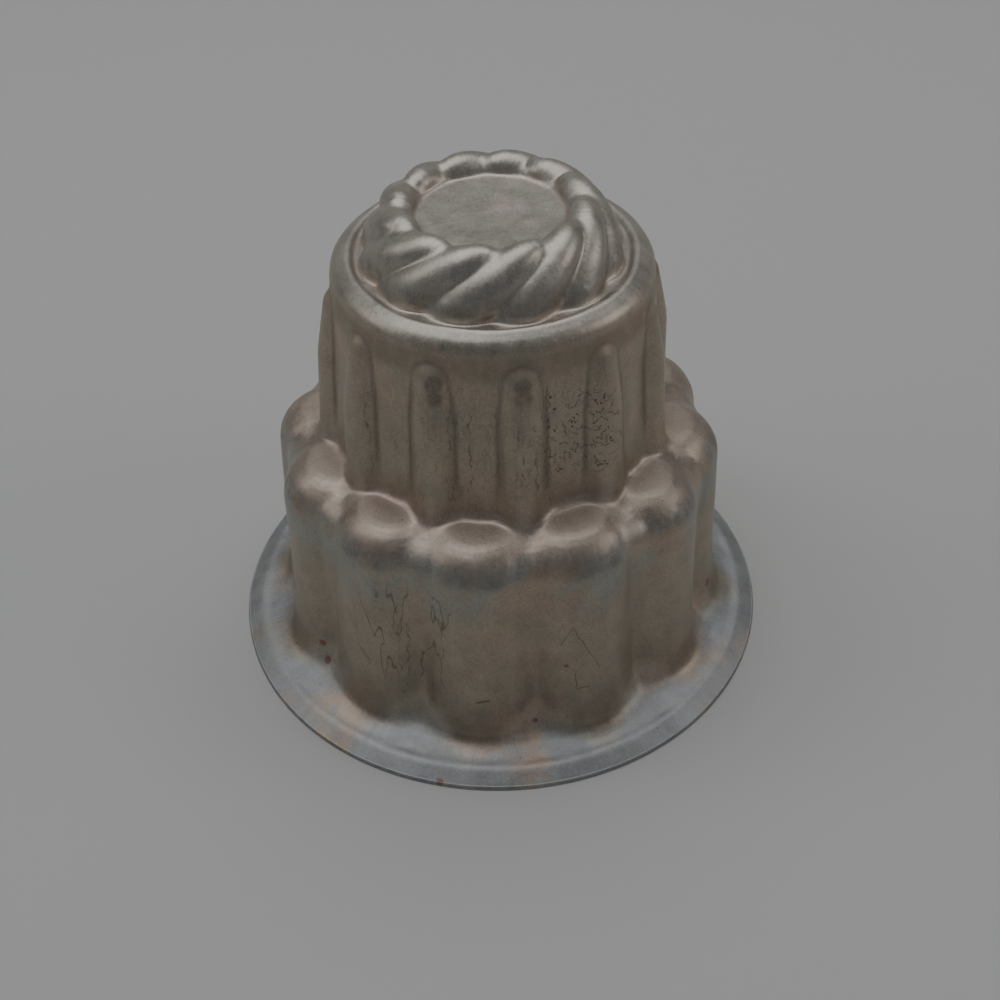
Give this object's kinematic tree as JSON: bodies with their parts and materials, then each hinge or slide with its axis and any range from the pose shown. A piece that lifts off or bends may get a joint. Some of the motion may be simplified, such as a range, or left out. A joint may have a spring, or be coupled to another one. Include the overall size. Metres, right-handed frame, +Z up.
{
  "type": "jelly mould",
  "caption": "Pressed aluminium jelly mould in two fluted tiers on a round flange, topped by a twisted rope ring around a flat disc.",
  "frame": {"origin": "on the mould's own axis, at the level of the flange's edge that it stands on", "axes": "+Z up along the mould's axis towards the rope ring, mouth down; -Y is the side that faces the viewer"},
  "size_m": [0.15, 0.15, 0.1306],
  "materials": {
    "sheet": "old pressed aluminium, dull grey-brown with soft sheen, stains, scratches and small pits"
  },
  "bodies": {
    "root": {"mould": "sheet"}
  },
  "joints": []
}
